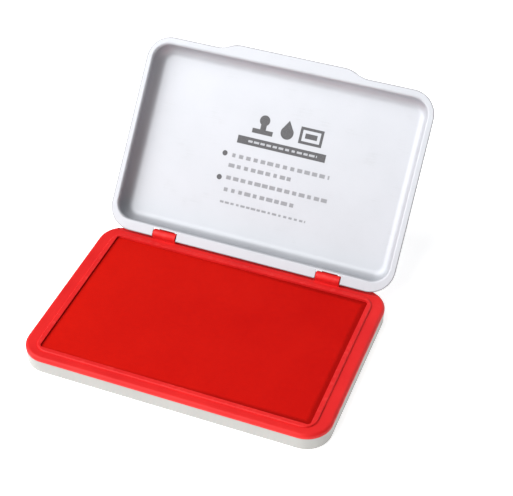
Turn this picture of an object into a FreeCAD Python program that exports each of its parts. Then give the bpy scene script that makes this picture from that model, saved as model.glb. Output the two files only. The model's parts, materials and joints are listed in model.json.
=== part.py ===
"""Hinged stamping ink pad: a shallow metal case with a felt pad and a pressed lid.

Millimetres. +X runs along the long side, +Y towards the hinge and +Z up.
The origin is the middle of the base's flat underside. The lid is drawn closed
and then turned back about the hinge axis to the angle at which it stands open.
"""
import FreeCAD, Part
import math
import os

V = FreeCAD.Vector

# ---- case -----------------------------------------------------------------
CASE_LENGTH = 138.4          # along X
CASE_WIDTH = 92.1            # along Y
CASE_CORNER = 11.5           # outer corner radius seen from above
SHEET = 0.4                  # tinplate thickness
PAN_HEIGHT = 6.9             # top of the lower pan
PAN_FLOOR_BEND = 1.3         # outer bend radius round the floor
PAN_INSET = 0.15             # the frame overhangs the pan by this much
SEAM_ROUND = 0.15            # broken edges either side of the seam

# ---- moulded frame round the pad ------------------------------------------
LAND_TOP = 9.2               # flat land on which the lid's flange closes
LAND_ROUND = 1.4             # rounding of the frame's outer edge
LIP_TOP = 9.8                # raised lip that goes inside the lid
LIP_WIDTH = 2.3              # lip width at the sides
LIP_WIDTH_FRONT = 2.0
LIP_ROUND = 0.55
LIP_CORNER = 6.0             # outer corner radius of the lip
PAD_LENGTH = 122.2           # opening along X
PAD_FRONT = -40.0            # front edge of the opening
PAD_BACK = 37.7              # rear edge of the opening
PAD_CORNER = 1.5
WELL_WALL = 1.2              # wall that fences the pad down to the pan floor
SKIRT_WALL = 1.2             # wall pressed into the pan
SKIRT_BOTTOM = 2.2
RIB_THICKNESS = 1.0
RIB_TOP = 6.9

# ---- pad stack ------------------------------------------------------------
PAD_GAP = 0.1                # between the cloth and the frame
CLOTH = 0.4
BOARD_THICKNESS = 1.0
RESERVOIR_THICKNESS = 4.8
TOP_FELT_THICKNESS = 2.0
CLOTH_EDGE_ROUND = 0.7

# ---- lid ------------------------------------------------------------------
LID_SEAT = 0.1               # gap between the closed flange and the land
LID_DEPTH = 7.8              # inside, from the flange to the panel
LID_PANEL_BEND = 4.5         # inner bend between wall and panel
LID_FLANGE_BEND = 1.1        # bend between flange and wall, inside
LID_INSET_SIDE = 3.3         # from the case outline to the lid wall, inside
LID_INSET_FRONT = 3.6
LID_INSET_BACK = 5.4
LID_CORNER = 7.5             # inner corner radius of the lid wall
HEM_WIDTH = 1.0              # folded edge of the flange
HEM_THICKNESS = 0.3          # what the fold adds on the outside
HEM_ROUND = 0.25             # rounding of the folded edge
THUMB_REACH = 2.9            # how far the thumb lip stands out in front
THUMB_HALF = 25.0            # half length of its straight edge
THUMB_END = 36.5             # where its curved ends meet the front edge

# ---- hinge ----------------------------------------------------------------
HINGE_Y = 44.4
HINGE_Z = 10.85
OPEN_ANGLE = 130.5           # from closed to standing open
KNUCKLE_X = 40.0             # centre of each knuckle from the middle
KNUCKLE_WIDTH = 11.4
KNUCKLE_RADIUS = 2.1
KNUCKLE_FOOT_FRONT = 42.6    # front face of the foot under the barrel
KNUCKLE_ROUND = 0.3          # broken edges of the barrel's ends
NOTCH_WIDTH = 12.0           # notch in the lid's flange round a knuckle
NOTCH_DEPTH = 4.1            # from the flange's rear edge
PIN_RADIUS = 0.8
PIN_BORE_RADIUS = 0.86
PIN_HEAD_RADIUS = 1.05
PIN_HEAD = 0.5
EAR_RADIUS = 1.5             # upstanding ear that holds the pin
RELIEF_RADIUS = 2.65         # trough that the flange's rear edge swings in
RELIEF_HALF = 63.5
HEEL_WIDTH = 7.0             # stop heel behind the knuckle
HEEL_GAP = 0.1
HEEL_START = 0.2
HEEL_END = 2.2

NEAR = 0.05                  # reach of a search for edges
SLACK = 1.0                  # how far a cutting tool runs past the material

flange_z = LAND_TOP + LID_SEAT
panel_z = flange_z + LID_DEPTH
wall_back_y = CASE_WIDTH / 2 - LID_INSET_BACK
cloth_top = SHEET + BOARD_THICKNESS + RESERVOIR_THICKNESS + TOP_FELT_THICKNESS + CLOTH


def rounded_outline(x_half, y_front, y_back, radius, z):
    """Closed wire of a rectangle with round corners, lying at height z."""
    radius = max(radius, 0.05)
    bend = radius * (1 - math.sqrt(0.5))
    left, right = -x_half, x_half
    edges = [
        Part.LineSegment(V(left + radius, y_front, z), V(right - radius, y_front, z)),
        Part.Arc(V(right - radius, y_front, z), V(right - bend, y_front + bend, z),
                 V(right, y_front + radius, z)),
        Part.LineSegment(V(right, y_front + radius, z), V(right, y_back - radius, z)),
        Part.Arc(V(right, y_back - radius, z), V(right - bend, y_back - bend, z),
                 V(right - radius, y_back, z)),
        Part.LineSegment(V(right - radius, y_back, z), V(left + radius, y_back, z)),
        Part.Arc(V(left + radius, y_back, z), V(left + bend, y_back - bend, z),
                 V(left, y_back - radius, z)),
        Part.LineSegment(V(left, y_back - radius, z), V(left, y_front + radius, z)),
        Part.Arc(V(left, y_front + radius, z), V(left + bend, y_front + bend, z),
                 V(left + radius, y_front, z)),
    ]
    return Part.Wire([edge.toShape() for edge in edges])


def rounded_block(x_half, y_front, y_back, radius, z_low, z_high):
    """Upright block with a rounded rectangular plan."""
    wire = rounded_outline(x_half, y_front, y_back, radius, z_low)
    return Part.Face(wire).extrude(V(0, 0, z_high - z_low))


def case_block(inset, z_low, z_high):
    """Block with the plan of the case, drawn in by inset all round."""
    half_width = CASE_WIDTH / 2 - inset
    return rounded_block(CASE_LENGTH / 2 - inset, -half_width, half_width,
                         CASE_CORNER - inset, z_low, z_high)


def pad_block(inset, z_low, z_high):
    """Block with the plan of the pad opening, drawn in by inset all round."""
    return rounded_block(PAD_LENGTH / 2 - inset, PAD_FRONT + inset, PAD_BACK - inset,
                         PAD_CORNER - inset, z_low, z_high)


def lid_block(outset, z_low, z_high):
    """Block with the plan of the lid's hollow, let out by outset all round."""
    return rounded_block(CASE_LENGTH / 2 - LID_INSET_SIDE + outset,
                         -CASE_WIDTH / 2 + LID_INSET_FRONT - outset,
                         wall_back_y + outset, LID_CORNER + outset, z_low, z_high)


def flat_edges(shape, z):
    """Edges of a shape that lie wholly at height z."""
    return [edge for edge in shape.Edges
            if abs(edge.BoundBox.ZMin - z) < 1e-4 and abs(edge.BoundBox.ZMax - z) < 1e-4]


def round_level(shape, z, radius):
    """Round the level edges at height z."""
    return shape.makeFillet(radius, flat_edges(shape, z))


def rod(radius, x_low, x_high):
    """Cylinder along the hinge axis."""
    return Part.makeCylinder(radius, x_high - x_low, V(x_low, HINGE_Y, HINGE_Z), V(1, 0, 0))


def block(x_low, x_high, y_low, y_high, z_low, z_high):
    """Plain box between two corners."""
    return Part.makeBox(x_high - x_low, y_high - y_low, z_high - z_low, V(x_low, y_low, z_low))


def lower_pan():
    """Pressed tray that forms the underside and the pale band of the base."""
    outside = round_level(case_block(PAN_INSET, 0, PAN_HEIGHT), 0, PAN_FLOOR_BEND)
    outside = round_level(outside, PAN_HEIGHT, SEAM_ROUND)
    inside = round_level(case_block(PAN_INSET + SHEET, SHEET, PAN_HEIGHT + SLACK), SHEET,
                         PAN_FLOOR_BEND - SHEET)
    return outside.cut(inside)


def frame_ribs():
    """Short ribs that tie the skirt to the wall round the pad."""
    ribs = []
    inset = PAN_INSET + SHEET + SKIRT_WALL / 2
    y_half = CASE_WIDTH / 2 - inset
    x_half = CASE_LENGTH / 2 - inset
    x_well = PAD_LENGTH / 2 + WELL_WALL / 2
    for x in (-45, -15, 15, 45):
        low, high = x - RIB_THICKNESS / 2, x + RIB_THICKNESS / 2
        ribs.append(block(low, high, -y_half, PAD_FRONT - WELL_WALL / 2, SKIRT_BOTTOM, RIB_TOP))
        ribs.append(block(low, high, PAD_BACK + WELL_WALL / 2, y_half, SKIRT_BOTTOM, RIB_TOP))
    for y in (-22, 18):
        low, high = y - RIB_THICKNESS / 2, y + RIB_THICKNESS / 2
        ribs.append(block(x_well, x_half, low, high, SKIRT_BOTTOM, RIB_TOP))
        ribs.append(block(-x_half, -x_well, low, high, SKIRT_BOTTOM, RIB_TOP))
    return ribs


def stop_heel(x):
    """Heel behind a knuckle, on which the open lid's rear wall leans."""
    reach = HINGE_Y - wall_back_y - SHEET - HEEL_GAP
    heel = block(x - HEEL_WIDTH / 2, x + HEEL_WIDTH / 2, -reach, 0, HEEL_START, HEEL_END)
    heel.translate(V(0, HINGE_Y, HINGE_Z))
    heel.rotate(V(0, HINGE_Y, HINGE_Z), V(1, 0, 0), -OPEN_ANGLE)
    return heel


def knuckle(x):
    """Barrel that carries a hinge pin, with its foot and stop heel."""
    low, high = x - KNUCKLE_WIDTH / 2, x + KNUCKLE_WIDTH / 2
    barrel = rod(KNUCKLE_RADIUS, low, high)
    barrel = barrel.makeFillet(KNUCKLE_ROUND, [edge for edge in barrel.Edges if edge.Closed])
    foot = block(low, high, KNUCKLE_FOOT_FRONT, CASE_WIDTH / 2, PAN_HEIGHT, HINGE_Z)
    return barrel.fuse([foot, stop_heel(x)])


def pad_frame():
    """Moulded frame: land, lip, pad well, skirt and the two hinge knuckles."""
    land = round_level(case_block(0, PAN_HEIGHT, LAND_TOP), LAND_TOP, LAND_ROUND)
    land = round_level(land, PAN_HEIGHT, SEAM_ROUND)
    skirt_inset = PAN_INSET + SHEET
    skirt = case_block(skirt_inset, SKIRT_BOTTOM, PAN_HEIGHT)
    skirt = skirt.cut(case_block(skirt_inset + SKIRT_WALL, SKIRT_BOTTOM - SLACK,
                                 PAN_HEIGHT + SLACK))
    relief = rod(RELIEF_RADIUS, -RELIEF_HALF, RELIEF_HALF)
    lip = rounded_block(PAD_LENGTH / 2 + LIP_WIDTH, PAD_FRONT - LIP_WIDTH_FRONT,
                        PAD_BACK + LIP_WIDTH, LIP_CORNER, LAND_TOP - SLACK, LIP_TOP)
    lip = round_level(lip, LIP_TOP, LIP_ROUND)
    well = pad_block(-WELL_WALL, SHEET, PAN_HEIGHT)
    body = land.cut(relief).fuse([skirt, lip, well] + frame_ribs())
    body = body.cut(pad_block(0, -SLACK, LIP_TOP + SLACK))
    body = body.fuse([knuckle(-KNUCKLE_X), knuckle(KNUCKLE_X)])
    body = body.cut(rod(PIN_BORE_RADIUS, -CASE_LENGTH / 2, CASE_LENGTH / 2))
    return body.removeSplitter()


def backing_board():
    """Stiff board that the felts are glued to."""
    return pad_block(PAD_GAP + CLOTH, SHEET, SHEET + BOARD_THICKNESS)


def reservoir_felt():
    """Thick lower felt that stores the ink."""
    low = SHEET + BOARD_THICKNESS
    return pad_block(PAD_GAP + CLOTH, low, low + RESERVOIR_THICKNESS)


def top_felt():
    """Fine felt that feeds the cloth."""
    high = cloth_top - CLOTH
    return pad_block(PAD_GAP + CLOTH, high - TOP_FELT_THICKNESS, high)


def pad_cloth():
    """Woven cover drawn over the felts and down to the board."""
    outside = round_level(pad_block(PAD_GAP, SHEET, cloth_top), cloth_top, CLOTH_EDGE_ROUND)
    return outside.cut(pad_block(PAD_GAP + CLOTH, SHEET - SLACK, cloth_top - CLOTH))


def flange_wire(z):
    """Outline of the lid's flange with the thumb lip in the middle of its front."""
    x_half, y_half = CASE_LENGTH / 2, CASE_WIDTH / 2
    run = THUMB_END - THUMB_HALF
    sweep_radius = (run ** 2 + THUMB_REACH ** 2) / (4 * THUMB_REACH)
    turn = 2 * math.atan(THUMB_REACH / run)
    half_chord = sweep_radius * math.sin(turn / 2)
    half_rise = sweep_radius * (1 - math.cos(turn / 2))
    front = -y_half
    tip = front - THUMB_REACH
    bend = CASE_CORNER * (1 - math.sqrt(0.5))
    points = {}
    for side in (-1, 1):
        points[side] = {
            "tip": V(side * THUMB_HALF, tip, z),
            "tip_arc": V(side * (THUMB_HALF + half_chord), tip + half_rise, z),
            "middle": V(side * (THUMB_HALF + run / 2), front - THUMB_REACH / 2, z),
            "root_arc": V(side * (THUMB_END - half_chord), front - half_rise, z),
            "root": V(side * THUMB_END, front, z),
            "front": V(side * (x_half - CASE_CORNER), front, z),
            "front_bend": V(side * (x_half - bend), front + bend, z),
            "side_low": V(side * x_half, front + CASE_CORNER, z),
            "side_high": V(side * x_half, y_half - CASE_CORNER, z),
            "back_bend": V(side * (x_half - bend), y_half - bend, z),
            "back": V(side * (x_half - CASE_CORNER), y_half, z),
        }
    edges = [Part.LineSegment(points[-1]["tip"], points[1]["tip"])]
    for side in (1, -1):
        p = points[side]
        run_edges = [
            Part.Arc(p["tip"], p["tip_arc"], p["middle"]),
            Part.Arc(p["middle"], p["root_arc"], p["root"]),
            Part.LineSegment(p["root"], p["front"]),
            Part.Arc(p["front"], p["front_bend"], p["side_low"]),
            Part.LineSegment(p["side_low"], p["side_high"]),
            Part.Arc(p["side_high"], p["back_bend"], p["back"]),
        ]
        edges.extend(run_edges)
    edges.append(Part.LineSegment(points[1]["back"], points[-1]["back"]))
    shapes = [edge.toShape() for edge in edges]
    return Part.Wire(Part.__sortEdges__(shapes))


def lid_flange():
    """Flat flange with its folded hem and the two hinge notches."""
    wire = flange_wire(flange_z)
    plate = Part.Face(wire).extrude(V(0, 0, SHEET))
    fold = Part.Face(wire).extrude(V(0, 0, SHEET + HEM_THICKNESS))
    inner = wire.makeOffset2D(-HEM_WIDTH)
    fold = fold.cut(Part.Face(inner).extrude(V(0, 0, SHEET + HEM_THICKNESS)))
    top = flange_z + SHEET + HEM_THICKNESS
    flange = plate.fuse(fold).removeSplitter()
    flange = round_level(flange, flange_z, HEM_ROUND)
    flange = round_level(flange, top, HEM_ROUND)
    for side in (-1, 1):
        x = side * KNUCKLE_X
        flange = flange.cut(block(x - NOTCH_WIDTH / 2, x + NOTCH_WIDTH / 2,
                                  CASE_WIDTH / 2 - NOTCH_DEPTH, CASE_WIDTH / 2 + SLACK,
                                  flange_z - SLACK, top + SLACK))
    return flange


def hinge_ears(x):
    """Two ears folded up from the sides of a notch, bored for the pin."""
    ears = []
    for side in (-1, 1):
        edge = x + side * NOTCH_WIDTH / 2
        low, high = min(edge, edge + side * SHEET), max(edge, edge + side * SHEET)
        root = block(low, high, HINGE_Y - EAR_RADIUS, HINGE_Y + EAR_RADIUS, flange_z, HINGE_Z)
        ears.append(rod(EAR_RADIUS, low, high).fuse(root))
    return ears


def wall_edges(shell, z, outset):
    """Edges at height z where the lid's wall, let out by outset, meets the flange."""
    reach = lid_block(outset + NEAR, z - SLACK, z + SLACK)
    return [edge for edge in flat_edges(shell, z)
            if reach.isInside(edge.valueAt((edge.FirstParameter + edge.LastParameter) / 2), 1e-4, True)]


def closed_lid():
    """Pressed lid in its closed place: panel, wall, flange, hem and ears."""
    outside = lid_block(SHEET, flange_z, panel_z + SHEET)
    outside = round_level(outside, panel_z + SHEET, LID_PANEL_BEND + SHEET)
    inside = lid_block(0, flange_z, panel_z)
    inside = round_level(inside, panel_z, LID_PANEL_BEND)
    solid = outside.fuse([lid_flange()] + hinge_ears(-KNUCKLE_X) + hinge_ears(KNUCKLE_X))
    shell = solid.cut(inside)
    shell = shell.makeFillet(LID_FLANGE_BEND, wall_edges(shell, flange_z, 0))
    shell = shell.makeFillet(LID_FLANGE_BEND - SHEET, wall_edges(shell, flange_z + SHEET, SHEET))
    for side in (-1, 1):
        x = side * KNUCKLE_X
        shell = shell.cut(rod(PIN_RADIUS, x - NOTCH_WIDTH, x + NOTCH_WIDTH))
    return shell.removeSplitter()


def opened(shape):
    """Turn a closed lid piece back to where it stands open."""
    shape.rotate(V(0, HINGE_Y, HINGE_Z), V(1, 0, 0), -OPEN_ANGLE)
    return shape


def lid_shell():
    """Lid as it stands open."""
    return opened(closed_lid())


def hinge_pin(x):
    """Headed pin through one knuckle and the two ears beside it."""
    half = NOTCH_WIDTH / 2 + SHEET
    pin = rod(PIN_RADIUS, x - half, x + half)
    heads = [rod(PIN_HEAD_RADIUS, x - half - PIN_HEAD, x - half),
             rod(PIN_HEAD_RADIUS, x + half, x + half + PIN_HEAD)]
    return opened(pin.fuse(heads).removeSplitter())


def write(name, shape):
    """Write one node and print what it is."""
    box = shape.BoundBox
    print(name, "solids", len(shape.Solids), "valid", shape.isValid(),
          "volume", round(shape.Volume, 1),
          "box", [round(v, 2) for v in (box.XMin, box.YMin, box.ZMin, box.XMax, box.YMax, box.ZMax)])
    shape.exportStep(os.path.join("parts", name + ".step"))


os.makedirs("parts", exist_ok=True)
write("lower_pan", lower_pan())
write("pad_frame", pad_frame())
write("backing_board", backing_board())
write("reservoir_felt", reservoir_felt())
write("top_felt", top_felt())
write("pad_cloth", pad_cloth())
write("lid_shell", lid_shell())
write("hinge_pin_left", hinge_pin(-KNUCKLE_X))
write("hinge_pin_right", hinge_pin(KNUCKLE_X))
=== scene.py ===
import json
import math
import random

import bmesh
import bpy
from mathutils import Matrix, Vector


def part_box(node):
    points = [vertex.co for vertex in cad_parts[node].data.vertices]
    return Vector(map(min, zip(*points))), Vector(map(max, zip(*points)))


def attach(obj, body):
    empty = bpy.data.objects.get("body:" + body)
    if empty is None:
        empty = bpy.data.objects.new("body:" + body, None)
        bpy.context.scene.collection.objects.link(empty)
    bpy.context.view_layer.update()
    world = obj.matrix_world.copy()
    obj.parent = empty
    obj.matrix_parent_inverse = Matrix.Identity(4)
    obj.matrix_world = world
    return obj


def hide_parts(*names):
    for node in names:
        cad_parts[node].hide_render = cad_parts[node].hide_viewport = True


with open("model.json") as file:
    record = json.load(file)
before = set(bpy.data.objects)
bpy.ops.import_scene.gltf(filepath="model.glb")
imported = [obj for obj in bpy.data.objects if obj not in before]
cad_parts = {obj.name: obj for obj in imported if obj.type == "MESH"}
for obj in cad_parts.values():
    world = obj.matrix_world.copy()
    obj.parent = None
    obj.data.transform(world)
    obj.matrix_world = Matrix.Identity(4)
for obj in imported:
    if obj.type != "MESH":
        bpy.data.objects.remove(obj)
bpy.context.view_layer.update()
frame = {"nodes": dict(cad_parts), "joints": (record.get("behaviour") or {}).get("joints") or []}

MM = 0.001
nodes = frame["nodes"]

# ---------------------------------------------------------------- the case, as packed
pan_low, pan_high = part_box("lower_pan")
frame_low, frame_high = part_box("pad_frame")
cloth_low, cloth_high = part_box("pad_cloth")
lid_joint = frame["joints"][0]
hinge = Vector(lid_joint["pos_m"])
open_angle = math.radians(lid_joint["range_deg"][1])

# Heights of the red frame
LAND_TOP = pan_high.z + 2.3 * MM
LIP_TOP = LAND_TOP + 0.6 * MM

# Plan of the case
CASE_HALF_X = frame_high.x
CASE_HALF_Y = -frame_low.y
CASE_CORNER = 11.5 * MM

# The lid as it lies closed on the frame
FLANGE_LEVEL = LAND_TOP + 0.1 * MM
LID_DEPTH = 7.8 * MM
PANEL_FACE = FLANGE_LEVEL + LID_DEPTH
THUMB_REACH = 2.9 * MM
THUMB_HALF = 25 * MM
THUMB_END = 36.5 * MM

# The pad's woven cover
COVER_THICKNESS = 0.4 * MM
COVER_PITCH = 1.5 * MM
COVER_CROWN = 0.4 * MM
PAD_CORNER = 1.4 * MM
PAD_ROLL = 0.3 * MM
PAD_SWELL = 0.3 * MM
THREAD_PITCH = 0.36 * MM

# A dimple near the cover's back left corner, and the lumps all over it
DIMPLE_IN = 24 * MM
DIMPLE_FORWARD = 13 * MM
DIMPLE_REACH = 5 * MM
DIMPLE_HOLD = 0.35
LUMPS = 40
LUMP_HEIGHT = 0.05 * MM

# The felts: piece, the node it stands for, how round its edges are, how far it swells upwards
FELT_PITCH = 3 * MM
FELT_RAGGED = 0.0015
FELTS = (("feeding_felt", "top_felt", 0.5 * MM, PAD_SWELL),
         ("ink_store_felt", "reservoir_felt", 0.7 * MM, 0))

# The cover rises as cloth in a model ten times its size, which the cloth solver handles better
RISE_SCALE = 10
RISE_STEPS = 20
HELD_FAST = 1.0


# ---------------------------------------------------------------- colours, in linear light
def grey(level):
    return (level, level, level, 1)


LID_TONES = ((0.436, 0.449, 0.480, 1), (0.474, 0.488, 0.521, 1))
PAN_TONES = ((0.390, 0.384, 0.366, 1), (0.425, 0.419, 0.399, 1))
ENAMEL_RUBBED = (0.33, 0.33, 0.335, 1)
# Painted shade: the dark line along the fold at the lid flange's outer edge
ENAMEL_FOLD_SHADE = (0.16, 0.16, 0.17, 1)
PRINT_INK = (0.055, 0.055, 0.06, 1)
RED_DEEP = (0.67, 0.014, 0.015, 1)
RED_BRIGHT = (0.75, 0.020, 0.019, 1)
# Lighter red of scuffs, and of the lip top: there partly rubbing wear, partly painted highlight
RED_RUBBED_AND_HIGHLIT = (0.88, 0.10, 0.09, 1)
CLOTH_DEEP = (0.515, 0.003, 0.002, 1)
CLOTH_BRIGHT = (0.68, 0.009, 0.0035, 1)
CLOTH_HOLE = (0.36, 0.002, 0.002, 1)
# Dark red of the cloth's edge: partly pooled ink, partly painted shade where the cloth meets the frame
CLOTH_SOAKED_AND_SHADED = (0.30, 0.002, 0.001, 1)
FELT_DEEP = (0.26, 0.006, 0.005, 1)
FELT_BRIGHT = (0.46, 0.02, 0.015, 1)
BOARD_DEEP = (0.33, 0.31, 0.28, 1)
BOARD_PALE = (0.47, 0.45, 0.41, 1)
BOARD_SPECK = (0.14, 0.13, 0.12, 1)
BOARD_INKED = (0.33, 0.03, 0.025, 1)
STEEL_DARK = (0.42, 0.42, 0.43, 1)
STEEL_BRIGHT = (0.66, 0.66, 0.67, 1)
STEEL_STAINED = (0.30, 0.24, 0.20, 1)
FLOOR_TONES = (grey(0.86), grey(0.9))
FLOOR_GLOW = 0.66


# ---------------------------------------------------------------- shader maths
class Field:
    """A number that varies over a surface. Arithmetic on it adds Math nodes."""

    def __init__(self, paint, socket):
        self.paint = paint
        self.socket = socket

    def apply(self, operation, *others):
        return self.paint.maths(operation, self, *others)

    def __add__(self, other):
        return self.apply("ADD", other)

    __radd__ = __add__

    def __sub__(self, other):
        return self.apply("SUBTRACT", other)

    def __rsub__(self, other):
        return self.paint.maths("SUBTRACT", other, self)

    def __mul__(self, other):
        return self.apply("MULTIPLY", other)

    __rmul__ = __mul__

    def __truediv__(self, other):
        return self.apply("DIVIDE", other)

    def __pow__(self, other):
        return self.apply("POWER", other)

    def __abs__(self):
        return self.apply("ABSOLUTE")

    def above(self, other):
        return self.apply("GREATER_THAN", other)

    def least(self, other):
        return self.apply("MINIMUM", other)

    def most(self, other):
        return self.apply("MAXIMUM", other)

    def clamped(self):
        """The number kept between 0 and 1."""
        return self.paint.maths("ADD", self, 0.0, clamp=True)

    def wave(self, length):
        """Sine of the distance, one half wave to each length."""
        return (self * (math.pi / length)).apply("SINE")

    def floor(self):
        return self.apply("FLOOR")

    def fade(self, start, end):
        """0 at start, 1 at end, smooth between; start may be the larger."""
        settings = {"interpolation_type": "SMOOTHSTEP"}
        sockets = {"Value": self, "From Min": start, "From Max": end}
        return self.paint.add("ShaderNodeMapRange", settings, sockets).out()


class Added:
    """A node that has been added, with its outputs at hand."""

    def __init__(self, paint, node):
        self.paint = paint
        self.node = node

    def out(self, name=0):
        return Field(self.paint, self.node.outputs[name])


class Paint:
    """One material, built node by node."""

    # Places of the colour sockets of a Mix node
    MIX_ONE = 6
    MIX_TWO = 7
    MIX_RESULT = 2

    def __init__(self, name):
        self.material = bpy.data.materials.new(name)
        self.material.use_nodes = True
        self.tree = self.material.node_tree
        self.tree.nodes.clear()

    def add(self, kind, settings, sockets):
        """Adds a node, makes its settings, then gives its sockets their values or links."""
        node = self.tree.nodes.new(kind)
        for key, value in settings.items():
            setattr(node, key, value)
        for key, value in sockets.items():
            value = getattr(value, "socket", value)
            if isinstance(value, bpy.types.NodeSocket):
                self.tree.links.new(value, node.inputs[key])
            else:
                node.inputs[key].default_value = value
        return Added(self, node)

    def maths(self, operation, *values, clamp=False):
        settings = {"operation": operation, "use_clamp": clamp}
        return self.add("ShaderNodeMath", settings, dict(enumerate(values))).out()

    def place(self):
        """Where a point is on the object at rest, in metres."""
        return self.add("ShaderNodeTexCoord", {}, {}).out("Object")

    def along(self, direction, origin=(0, 0, 0)):
        """Distance of a point along a direction, from an origin."""
        offset = self.add("ShaderNodeVectorMath", {"operation": "SUBTRACT"},
                          {0: self.place(), 1: origin}).out("Vector")
        return self.add("ShaderNodeVectorMath", {"operation": "DOT_PRODUCT"},
                        {0: offset, 1: direction}).out("Value")

    def noise(self, grain, detail=2.0, roughness=0.5, at=None):
        """Noise from 0 to 1 whose lumps are about grain metres across."""
        return self.add("ShaderNodeTexNoise", {}, {
            "Vector": at or self.place(), "Scale": 1 / grain,
            "Detail": detail, "Roughness": roughness}).out()

    def streaks(self, width, length, turn):
        """Noise drawn out into lines of a width and length, turned about Z by an angle."""
        drawn = self.add("ShaderNodeMapping", {}, {
            "Vector": self.place(), "Rotation": (0, 0, turn),
            "Scale": (1 / length, 1 / width, 1 / width)}).out("Vector")
        return self.noise(1.0, 1.0, at=drawn)

    def chance(self, number):
        """A random share for each whole number."""
        return self.add("ShaderNodeTexWhiteNoise", {"noise_dimensions": "1D"}, {"W": number}).out("Value")

    def mix(self, share, one, two):
        """Blend of two colours."""
        sockets = {0: share, self.MIX_ONE: one, self.MIX_TWO: two}
        return self.add("ShaderNodeMix", {"data_type": "RGBA"}, sockets).out(self.MIX_RESULT)

    def bump(self, height, depth, under=None):
        """Surface normal for a height from 0 to 1 that stands depth metres high."""
        sockets = {"Height": height, "Distance": depth, "Strength": 1.0}
        if under:
            sockets["Normal"] = under
        return self.add("ShaderNodeBump", {}, sockets).out("Normal")

    def finish(self, **sockets):
        """Ends the material with its shader, whose sockets are named as in roughness=0.5."""
        names = {key: key.replace("_", " ").title().replace("Ior", "IOR") for key in sockets}
        values = {names[key]: value for key, value in sockets.items()}
        shader = self.add("ShaderNodeBsdfPrincipled", {}, values)
        self.add("ShaderNodeOutputMaterial", {}, {"Surface": shader.out("BSDF")})
        return self.material


# ---------------------------------------------------------------- the print inside the lid
class Print:
    """Marks printed in one ink, placed across and towards the thumb lip, in millimetres."""

    SOFT = 0.12

    # Half widths of a dash, as shares of the row's pitch
    DASH_SHORTEST = 0.22
    DASH_SPREAD = 0.24
    DASH_SOFT = 0.05

    def __init__(self, paint, across, high):
        self.paint = paint
        self.across = across
        self.high = high

    def block(self, x, y, half_x, half_y):
        wide = abs(self.across - x).fade(half_x + self.SOFT, half_x - self.SOFT)
        return wide * abs(self.high - y).fade(half_y + self.SOFT, half_y - self.SOFT)

    def disc(self, x, y, radius):
        across, high = self.across - x, self.high - y
        distance = (across * across + high * high) ** 0.5
        return distance.fade(radius + self.SOFT, radius - self.SOFT)

    def peak(self, x, low, top, slope):
        """Triangle that stands on low and comes to a point at top."""
        side = (top - self.high) * slope - abs(self.across - x)
        return side.fade(-self.SOFT, self.SOFT) * self.high.above(low)

    def dashes(self, start, end, y, half_y, pitch, seed):
        """A row of short dashes of uneven width."""
        place = (self.across - start) / pitch
        cell = place.floor()
        width = self.paint.chance(cell + seed) * self.DASH_SPREAD + self.DASH_SHORTEST
        dash = (width - abs(place - cell - 0.5)).fade(-self.DASH_SOFT, self.DASH_SOFT)
        middle, half = (start + end) / 2, (end - start) / 2
        return dash * self.block(middle, y, half, half_y)


# Places of the marks, in millimetres
PICTURE_FOOT = 11.7
STAMP_X = -8
DROP_X = 3.6
TRAY_X = 15.2
BAR_X = 2.6
BAR_Y = 7.4
BAR_DASHES = (-14, 20)
DOT_X = -23.2
DOT_ROWS = (-0.4, -11.8)
DOT_RADIUS = 1.25
ROWS_START = -20.5
ROWS = ((-0.6, 28), (-5.4, 10.5), (-11.2, 29.5), (-16.8, 15.5))
LAST_ROW = -22.7
LAST_ROW_END = 22


def stamp_picture(ink, x, foot):
    """A hand stamp from the side: base, neck and round knob."""
    base = ink.block(x, foot + 1.1, 5, 1.1)
    neck = ink.block(x, foot + 3.3, 1.4, 1.6)
    knob = ink.disc(x, foot + 6.5, 2.5)
    return base.most(neck).most(knob)


def drop_picture(ink, x, foot):
    """A drop of ink: a round with a point on it."""
    bowl = ink.disc(x, foot + 3.3, 3.1)
    return bowl.most(ink.peak(x, foot + 4.1, foot + 9.1, 0.62))


def tray_picture(ink, x, foot):
    """A pad in its case from above: a border round a block."""
    middle = foot + 3.9
    border = ink.block(x, middle, 5.6, 3.9) - ink.block(x, middle, 4.3, 2.6)
    return border.most(ink.block(x, middle, 2.9, 1.2))


def lid_marks(paint, across, up):
    """Plain marks inside the lid: three small pictures, a bar, two dots and rows of dashes."""
    ink = Print(paint, across / MM, up / -MM)
    stamp = stamp_picture(ink, STAMP_X, PICTURE_FOOT)
    drop = drop_picture(ink, DROP_X, PICTURE_FOOT)
    tray = tray_picture(ink, TRAY_X, PICTURE_FOOT)
    bar = ink.block(BAR_X, BAR_Y, 21.5, 1.85) * (1 - 0.75 * ink.dashes(*BAR_DASHES, BAR_Y, 0.5, 3.0, 5))
    dark = stamp.most(drop).most(tray).most(bar)
    for y in DOT_ROWS:
        dark = dark.most(ink.disc(DOT_X, y, DOT_RADIUS))
    lines = ink.dashes(ROWS_START, LAST_ROW_END, LAST_ROW, 0.5, 2.6, 9)
    for number, (y, end) in enumerate(ROWS):
        lines = lines.most(ink.dashes(ROWS_START, end, y, 0.9, 3.6, 20 + 30 * number))
    return dark, lines


# ---------------------------------------------------------------- finishes
def lid_places(paint):
    """Across, up and depth of a point on the closed lid, worked out from where it stands open."""
    turn = Matrix.Rotation(-open_angle, 3, "X")
    origin = tuple(hinge)
    across = paint.along((1, 0, 0), origin)
    up = paint.along(tuple(turn @ Vector((0, 1, 0))), origin) + hinge.y
    depth = paint.along(tuple(turn @ Vector((0, 0, 1))), origin) + hinge.z
    return across, up, depth


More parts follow.
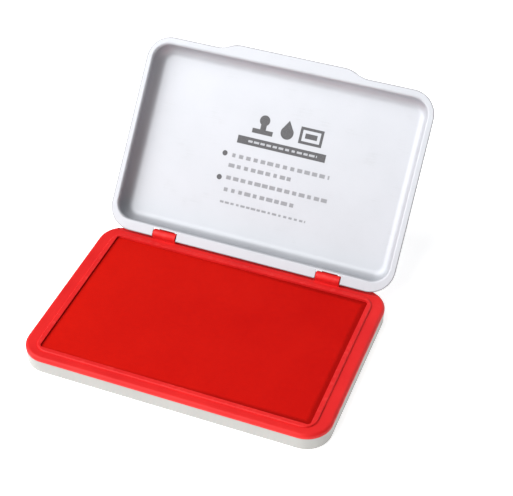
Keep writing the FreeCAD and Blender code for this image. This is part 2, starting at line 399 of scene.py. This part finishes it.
def folded_edge_shade(across, up):
    """1 along the fold at the outer edge of the lid's flange, thumb lip and round corners included: where
    painted shade darkens the enamel.
    """
    side = CASE_HALF_X - abs(across)
    lip = abs(across).fade(THUMB_END, THUMB_HALF) * THUMB_REACH
    ends = (up + CASE_HALF_Y + lip).least(CASE_HALF_Y - up)
    over_side = (CASE_CORNER - side).most(0)
    over_end = (CASE_CORNER - ends).most(0)
    edge = CASE_CORNER - (over_side * over_side + over_end * over_end) ** 0.5
    return edge.fade(0.6 * MM, 0.2 * MM)


def enamel(name, tones, marks=False):
    """Silvery white baked enamel on tinplate: satin, a little orange peel, faint rubs; with marks, print
    inside the lid and painted shade along its flange's outer fold.
    """
    paint = Paint(name)
    cloud = paint.noise(24 * MM, 3)
    flake = paint.noise(0.22 * MM, 1)
    peel = paint.noise(1.3 * MM, 2)
    rub = (paint.streaks(0.12 * MM, 14 * MM, 0.6) * paint.noise(9 * MM, 2)).fade(0.36, 0.48)
    tone = (cloud * 0.7 + flake * 0.3).fade(0.25, 0.75)
    colour = paint.mix(tone, *tones)
    colour = paint.mix(rub * 0.25, colour, ENAMEL_RUBBED)
    rough = 0.42 + cloud * 0.08 + rub * 0.08 + flake * 0.03
    metal = 0.18 + flake * 0.1
    if marks:
        across, up, depth = lid_places(paint)
        # painted shade: the flange's outer fold darkened to a thin grey line
        colour = paint.mix(folded_edge_shade(across, up) * 0.7, colour, ENAMEL_FOLD_SHADE)
        above_panel = depth - PANEL_FACE
        inside = above_panel.fade(0.2 * MM, 0.1 * MM) * above_panel.fade(-0.3 * MM, -0.2 * MM)
        worn = 0.88 + paint.noise(0.5 * MM, 2) * 0.2
        dark, lines = (mark * inside * worn for mark in lid_marks(paint, across, up))
        colour = paint.mix((lines * 0.5).clamped(), colour, PRINT_INK)
        colour = paint.mix(dark.clamped(), colour, PRINT_INK)
        printed = dark.most(lines).clamped()
        metal = metal * (1 - printed)
        rough = rough + printed * 0.12
    height = peel * 0.7 + flake * 0.3
    return paint.finish(base_color=colour, metallic=metal, roughness=rough,
                        normal=paint.bump(height, 0.012 * MM), coat_weight=0.15, coat_roughness=0.2)


def red_plastic():
    """Moulded red plastic: satin, finely grained, with flow shades, faint scuffs, and a lighter lip top that
    is partly rubbing wear, partly painted highlight.
    """
    paint = Paint("red_plastic")
    flow = paint.noise(16 * MM, 3)
    grain = paint.noise(0.3 * MM, 3)
    ripple = paint.noise(3.5 * MM, 2)
    scuff = (paint.streaks(0.1 * MM, 9 * MM, 1.1) * paint.noise(7 * MM, 2)).fade(0.38, 0.5)
    rise = paint.along((0, 0, 1))
    # lighter patches on the lip top: partly rubbing wear, partly painted highlight
    worn = rise.fade(LIP_TOP - 0.25 * MM, LIP_TOP) * paint.noise(2.2 * MM, 3).fade(0.5, 0.72)
    colour = paint.mix(flow.fade(0.25, 0.75), RED_DEEP, RED_BRIGHT)
    colour = paint.mix((scuff * 0.2 + worn * 0.16).clamped(), colour, RED_RUBBED_AND_HIGHLIT)
    rough = 0.42 + grain * 0.12 + scuff * 0.12 - worn * 0.06
    fine = paint.bump(grain, 0.02 * MM)
    return paint.finish(base_color=colour, roughness=rough, normal=paint.bump(ripple, 0.03 * MM, fine),
                        specular_ior_level=0.2)


def weave(paint, pitch):
    """Relief of a plain weave, 0 in the holes and 1 along the threads that lie on top."""
    warp = paint.along((1, 0, 0)).wave(pitch)
    weft = paint.along((0, 1, 0)).wave(pitch)
    over = (warp * weft * 5 + 0.5).clamped()
    return abs(weft) + (abs(warp) - abs(weft)) * over


def inked_cloth():
    """Fine cotton weave soaked in red ink: blotchy, painted light brightening it towards the left, and dark
    round the edge, partly pooled ink and partly painted shade.
    """
    paint = Paint("inked_cloth")
    threads = weave(paint, THREAD_PITCH)
    soak = paint.noise(26 * MM, 3, 0.5)
    blot = paint.noise(2.4 * MM, 4, 0.65)
    slub = paint.streaks(0.25 * MM, 3.5 * MM, 0).most(paint.streaks(0.25 * MM, 3.5 * MM, math.pi / 2))
    across = paint.along((1, 0, 0))
    back = paint.along((0, 1, 0))
    # painted light: the cloth brighter towards the left, where the lamp falls more; it also narrows and
    # weakens the dark edge there
    painted_light_from_left = across.fade(cloth_high.x, cloth_low.x)
    tone = (soak * 0.45 + blot * 0.35 + slub * 0.2).fade(0.25, 0.75) * 0.5 + painted_light_from_left * 0.5
    colour = paint.mix(tone, CLOTH_DEEP, CLOTH_BRIGHT)
    middle = (cloth_low.y + cloth_high.y) / 2
    inward = (cloth_high.x - abs(across)).least(cloth_high.y - middle - abs(back - middle))
    # painted shade along the edge where the cloth meets the frame, with ink pooled there; wider and darker
    # towards the right, away from the light
    pooled_ink_and_shade = (inward / MM - blot * 1.2 - (1 - painted_light_from_left) * 1.5).fade(1.0, -0.9)
    colour = paint.mix(pooled_ink_and_shade * (0.75 - painted_light_from_left * 0.6), colour, CLOTH_SOAKED_AND_SHADED)
    colour = paint.mix(threads.fade(0.45, 0.05) * 0.5, colour, CLOTH_HOLE)
    fuzz = paint.noise(0.12 * MM, 2)
    rough = 0.72 + blot * 0.16 - soak * 0.1
    fine = paint.bump(threads * 0.8 + fuzz * 0.2, 0.05 * MM)
    return paint.finish(base_color=colour, roughness=rough, normal=paint.bump(blot, 0.05 * MM, fine),
                        specular_ior_level=0.05)


def inked_felt():
    """Pressed wool felt, full of ink, with loose fibres."""
    paint = Paint("inked_felt")
    fibre = paint.streaks(0.06 * MM, 2.5 * MM, 0.4).most(paint.streaks(0.06 * MM, 2.0 * MM, 1.9))
    clump = paint.noise(1.6 * MM, 3)
    relief = fibre * 0.6 + clump * 0.4
    colour = paint.mix(relief.fade(0.35, 0.7), FELT_DEEP, FELT_BRIGHT)
    return paint.finish(base_color=colour, roughness=0.9 + clump * 0.1,
                        normal=paint.bump(relief, 0.18 * MM), specular_ior_level=0.1)


def grey_board():
    """Pulp board: fibres, specks, and ink that has crept in."""
    paint = Paint("grey_board")
    fibre = paint.streaks(0.15 * MM, 3 * MM, 0.9)
    speck = paint.noise(0.5 * MM, 2).fade(0.66, 0.74)
    creep = paint.noise(8 * MM, 4, 0.7).fade(0.5, 0.64)
    colour = paint.mix(fibre.fade(0.3, 0.7), BOARD_DEEP, BOARD_PALE)
    colour = paint.mix(speck * 0.5, colour, BOARD_SPECK)
    colour = paint.mix(creep * 0.8, colour, BOARD_INKED)
    return paint.finish(base_color=colour, roughness=0.85 + fibre * 0.1,
                        normal=paint.bump(fibre, 0.05 * MM))


def pin_steel():
    """Bright drawn steel wire, marked along its length."""
    paint = Paint("pin_steel")
    drawn = paint.streaks(0.05 * MM, 4 * MM, 0)
    stain = paint.noise(0.9 * MM, 3).fade(0.5, 0.75)
    colour = paint.mix(drawn, STEEL_DARK, STEEL_BRIGHT)
    colour = paint.mix(stain * 0.4, colour, STEEL_STAINED)
    return paint.finish(base_color=colour, metallic=1.0, roughness=0.28 + drawn * 0.15 + stain * 0.15,
                        normal=paint.bump(drawn, 0.01 * MM))


def studio_white():
    """Pale matt floor that glows a little, as a lit sweep does."""
    paint = Paint("studio_floor")
    colour = paint.mix(paint.noise(0.4, 2), *FLOOR_TONES)
    return paint.finish(base_color=colour, roughness=0.9, specular_ior_level=0.1,
                        emission_color=grey(1.0), emission_strength=FLOOR_GLOW)


# ---------------------------------------------------------------- the soft pieces
def grid_lines(low, high, edge_steps, pitch):
    """Places of grid lines between two edges, close together near each edge."""
    start, end = low + edge_steps[-1], high - edge_steps[-1]
    count = round((end - start) / pitch)
    middle = [start + (end - start) * i / count for i in range(1, count)]
    return [low + s for s in edge_steps] + middle + [high - s for s in reversed(edge_steps)]


class SlabShape:
    """Plan of a rectangular slab with round corners and rolled edges."""

    def __init__(self, low, high, corner, roll):
        self.low = low
        self.high = high
        self.corner = corner
        self.roll = roll
        self.middle = (low + high) / 2
        self.half = (high - low) / 2

    def shrunk(self, x, y):
        """A point of the square plan moved into the round-cornered one, and its distance to the edge."""
        across, back = x - self.middle.x, y - self.middle.y
        over_x = abs(across) - (self.half.x - self.corner)
        over_y = abs(back) - (self.half.y - self.corner)
        longest = max(over_x, over_y)
        if over_x <= 0 or over_y <= 0:
            return x, y, self.corner - longest
        pull = longest / math.hypot(over_x, over_y)
        across = math.copysign(self.half.x - self.corner + over_x * pull, across)
        back = math.copysign(self.half.y - self.corner + over_y * pull, back)
        return self.middle.x + across, self.middle.y + back, self.corner - longest

    def drop(self, edge):
        """How far the rolled edge lies below the flat of the top."""
        if edge >= self.roll:
            return 0.0
        return self.roll * (1 - math.sqrt(max(0.0, 1 - (1 - edge / self.roll) ** 2)))


ROLL_ANGLES = range(0, 91, 15)
WALL_RINGS = 4
FOOT_SHARE = 0.4


def slab_top(mesh, shape, pitch):
    """Grid of points over the slab's top and rolled edge, with its faces, column by column."""
    steps = [shape.roll * (1 - math.cos(math.radians(angle))) for angle in ROLL_ANGLES]
    steps.append(shape.roll * 2)
    across = grid_lines(shape.low.x, shape.high.x, steps, pitch)
    back = grid_lines(shape.low.y, shape.high.y, steps, pitch)
    top = []
    for x in across:
        column = []
        for y in back:
            px, py, edge = shape.shrunk(x, y)
            column.append(mesh.verts.new((px, py, shape.high.z - shape.drop(edge))))
        top.append(column)
    for left, right in zip(top, top[1:]):
        for j in range(len(left) - 1):
            mesh.faces.new((left[j], right[j], right[j + 1], left[j + 1]))
    return top


def rim_of(top):
    """The outer ring of a grid of points, in order round it."""
    front = [column[0] for column in top[:-1]]
    back = [column[-1] for column in top[:0:-1]]
    return front + top[-1][:-1] + back + top[0][:0:-1]


def band(mesh, above, below):
    """Faces between two rings of points."""
    for k, vertex in enumerate(above):
        after = (k + 1) % len(above)
        mesh.faces.new((vertex, below[k], below[after], above[after]))


def slab(name, shape, pitch, open_below=False):
    """Closed slab with a rolled upper edge; open below, it is a cover that goes over what it holds."""
    mesh = bmesh.new()
    ring = rim_of(slab_top(mesh, shape, pitch))
    foot = 0.0 if open_below else shape.roll * FOOT_SHARE
    start = shape.high.z - shape.roll
    for number in range(1, WALL_RINGS + 1):
        height = start + (shape.low.z + foot - start) * (number / WALL_RINGS)
        below = [mesh.verts.new((v.co.x, v.co.y, height)) for v in ring]
        band(mesh, ring, below)
        ring = below
    if not open_below:
        tuck = [mesh.verts.new((v.co.x + math.copysign(foot, shape.middle.x - v.co.x),
                                v.co.y + math.copysign(foot, shape.middle.y - v.co.y),
                                shape.low.z)) for v in ring]
        band(mesh, ring, tuck)
        mesh.faces.new(list(reversed(tuck)))
    mesh.normal_update()
    data = bpy.data.meshes.new(name)
    mesh.to_mesh(data)
    mesh.free()
    data.polygons.foreach_set("use_smooth", [True] * len(data.polygons))
    piece = bpy.data.objects.new(name, data)
    bpy.context.scene.collection.objects.link(piece)
    return piece


def risen(piece, held):
    """Lets a copy of a cover rise as cloth does over sprung felt, and gives each point's rise."""
    data = piece.data.copy()
    for vertex in data.vertices:
        vertex.co *= RISE_SCALE
    model = bpy.data.objects.new("rising_cover", data)
    bpy.context.scene.collection.objects.link(model)
    group = model.vertex_groups.new(name="held")
    for index, weight in held.items():
        group.add([index], weight, "REPLACE")
    cloth = model.modifiers.new("cloth", "CLOTH")
    cloth.settings.quality = 6
    cloth.settings.mass = 0.3
    cloth.settings.tension_stiffness = 20
    cloth.settings.compression_stiffness = 20
    cloth.settings.shear_stiffness = 8
    cloth.settings.bending_stiffness = 0.8
    cloth.settings.vertex_group_mass = "held"
    cloth.settings.effector_weights.gravity = -0.6
    cloth.collision_settings.use_collision = False
    scene = bpy.context.scene
    for step in range(1, RISE_STEPS + 1):
        scene.frame_set(step)
    settled = model.evaluated_get(bpy.context.evaluated_depsgraph_get()).to_mesh()
    rise = [(after.co.z - before.co.z) / RISE_SCALE for after, before in zip(settled.vertices, data.vertices)]
    bpy.data.objects.remove(model)
    bpy.data.meshes.remove(data)
    scene.frame_set(1)
    return rise


def held_points(piece, shape):
    """How firmly points of the cover are held: fast below the flat of its top, a little in the dimple."""
    flat = shape.high.z - 0.02 * MM
    dimple = Vector((shape.low.x + DIMPLE_IN, shape.high.y - DIMPLE_FORWARD))
    held = {}
    for vertex in piece.data.vertices:
        near = math.exp(-((vertex.co.xy - dimple).length / DIMPLE_REACH) ** 2)
        if vertex.co.z < flat:
            held[vertex.index] = HELD_FAST
        elif near > 0.05:
            held[vertex.index] = DIMPLE_HOLD * near
    return held


def free_points(piece, held):
    """Points of the cover that aren't held fast."""
    return [vertex for vertex in piece.data.vertices if held.get(vertex.index) != HELD_FAST]


def crown(piece, held):
    """Raises the cover's free points as the cloth rose, so that the highest stands COVER_CROWN up."""
    rise = risen(piece, held)
    most = max(rise)
    for vertex in free_points(piece, held):
        vertex.co.z += COVER_CROWN * math.sqrt(max(rise[vertex.index], 0) / most)


def add_lumps(piece, held, shape):
    """Gives the cover's free points low lumps and hollows, spread at random."""
    chance = random.Random(11)
    lumps = [(chance.uniform(shape.low.x, shape.high.x), chance.uniform(shape.low.y, shape.high.y),
              chance.uniform(5, 13) * MM, chance.uniform(-LUMP_HEIGHT, LUMP_HEIGHT))
             for _ in range(LUMPS)]
    for vertex in free_points(piece, held):
        for x, y, reach, height in lumps:
            gap = math.hypot(vertex.co.x - x, vertex.co.y - y) / reach
            if gap < 1:
                vertex.co.z += height * (1 - gap * gap) ** 2


def pad_cover():
    """The pad's woven cover: held down round its edge, crowned over the felts, a little uneven."""
    shape = SlabShape(cloth_low, cloth_high + Vector((0, 0, PAD_SWELL)), PAD_CORNER, PAD_ROLL)
    piece = slab("pad_cover", shape, COVER_PITCH, open_below=True)
    held = held_points(piece, shape)
    crown(piece, held)
    add_lumps(piece, held, shape)
    shell = piece.modifiers.new("thickness", "SOLIDIFY")
    shell.thickness = COVER_THICKNESS
    shell.offset = -1
    return piece


def felt(name, node, roll, swell):
    """A felt of the stack, with soft edges and an uneven cut, swollen upwards by its ink."""
    low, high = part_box(node)
    shape = SlabShape(low, high + Vector((0, 0, swell)), PAD_CORNER, roll)
    piece = slab(name, shape, FELT_PITCH)
    chance = random.Random(len(name))
    for vertex in piece.data.vertices:
        inward = 1 - chance.random() * FELT_RAGGED
        vertex.co.x = shape.middle.x + (vertex.co.x - shape.middle.x) * inward
        vertex.co.y = shape.middle.y + (vertex.co.y - shape.middle.y) * inward
    return piece


def dress(piece, material):
    """Give a piece one material."""
    piece.data.materials.clear()
    piece.data.materials.append(material)


def place(piece, node, slot, material):
    """Put a new piece on the base in a node's stead."""
    dress(piece, material)
    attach(piece, "base")
    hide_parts(node)


steel = pin_steel()
felt_stuff = inked_felt()
dress(nodes["lid_shell"], enamel("lid_enamel", LID_TONES, marks=True))
dress(nodes["lower_pan"], enamel("pan_enamel", PAN_TONES))
dress(nodes["pad_frame"], red_plastic())
dress(nodes["backing_board"], grey_board())
dress(nodes["hinge_pin_left"], steel)
dress(nodes["hinge_pin_right"], steel)

cover = pad_cover()
place(cover, "pad_cloth", "inked_cloth", inked_cloth())
for felt_name, felt_node, felt_roll, felt_swell in FELTS:
    slab_of_felt = felt(felt_name, felt_node, felt_roll, felt_swell)
    place(slab_of_felt, felt_node, "inked_felt", felt_stuff)


# ---------------------------------------------------------------- stage, light and camera
FLOOR_SIZE = 24
WORLD_LEVEL = 0.08

# Soft boxes: name, direction that the light comes from, distance, width and power
LIGHTS = (("key_box", (-0.72, -0.58, 0.88), 2.4, 3.3, 123),
          ("back_fill", (0.35, 0.85, 0.4), 1.3, 1.2, 6))

# The camera: round from the front, up and tilt in degrees, then what it looks at and how far off
CAMERA_AZIMUTH = 20.866
CAMERA_ELEVATION = 41.122
CAMERA_ROLL = 0.38
CAMERA_AIM = Vector((10.324, 31.642, 29.655)) * MM
CAMERA_DISTANCE = 590.637 * MM
LENS_LENGTH = 94.393
SENSOR_WIDTH = 36


def stage():
    """The floor that the case stands on."""
    bpy.ops.mesh.primitive_plane_add(size=FLOOR_SIZE, location=(0, 0, pan_low.z))
    floor = bpy.context.object
    floor.name = "studio_floor"
    dress(floor, studio_white())


def soft_box(name, towards, distance, size, power):
    """Round soft box that shines on the object from the given direction."""
    light = bpy.data.lights.new(name, "AREA")
    light.shape = "DISK"
    light.size = size
    light.energy = power
    piece = bpy.data.objects.new(name, light)
    bpy.context.scene.collection.objects.link(piece)
    direction = Vector(towards).normalized()
    piece.location = direction * distance
    piece.rotation_euler = direction.to_track_quat("Z", "Y").to_euler()


def world_light():
    """Even white light from all round."""
    world = bpy.data.worlds.new("studio")
    world.use_nodes = True
    background = world.node_tree.nodes["Background"]
    background.inputs["Color"].default_value = grey(1)
    background.inputs["Strength"].default_value = WORLD_LEVEL
    bpy.context.scene.world = world


def camera():
    """Camera in front, a little to the right and well above, leaning over the pad."""
    azimuth = math.radians(CAMERA_AZIMUTH)
    elevation = math.radians(CAMERA_ELEVATION)
    back = Vector((math.sin(azimuth) * math.cos(elevation),
                   -math.cos(azimuth) * math.cos(elevation), math.sin(elevation)))
    data = bpy.data.cameras.new("camera")
    data.sensor_width = SENSOR_WIDTH
    data.lens = LENS_LENGTH
    piece = bpy.data.objects.new("camera", data)
    bpy.context.scene.collection.objects.link(piece)
    piece.location = CAMERA_AIM + back * CAMERA_DISTANCE
    turn = (-back).to_track_quat("-Z", "Y").to_matrix().to_4x4()
    piece.rotation_euler = (turn @ Matrix.Rotation(math.radians(CAMERA_ROLL), 4, "Z")).to_euler()
    bpy.context.scene.camera = piece


stage()
world_light()
for box_name, towards, distance, size, power in LIGHTS:
    soft_box(box_name, towards, distance, size, power)
camera()
bpy.context.scene.view_settings.view_transform = "Standard"
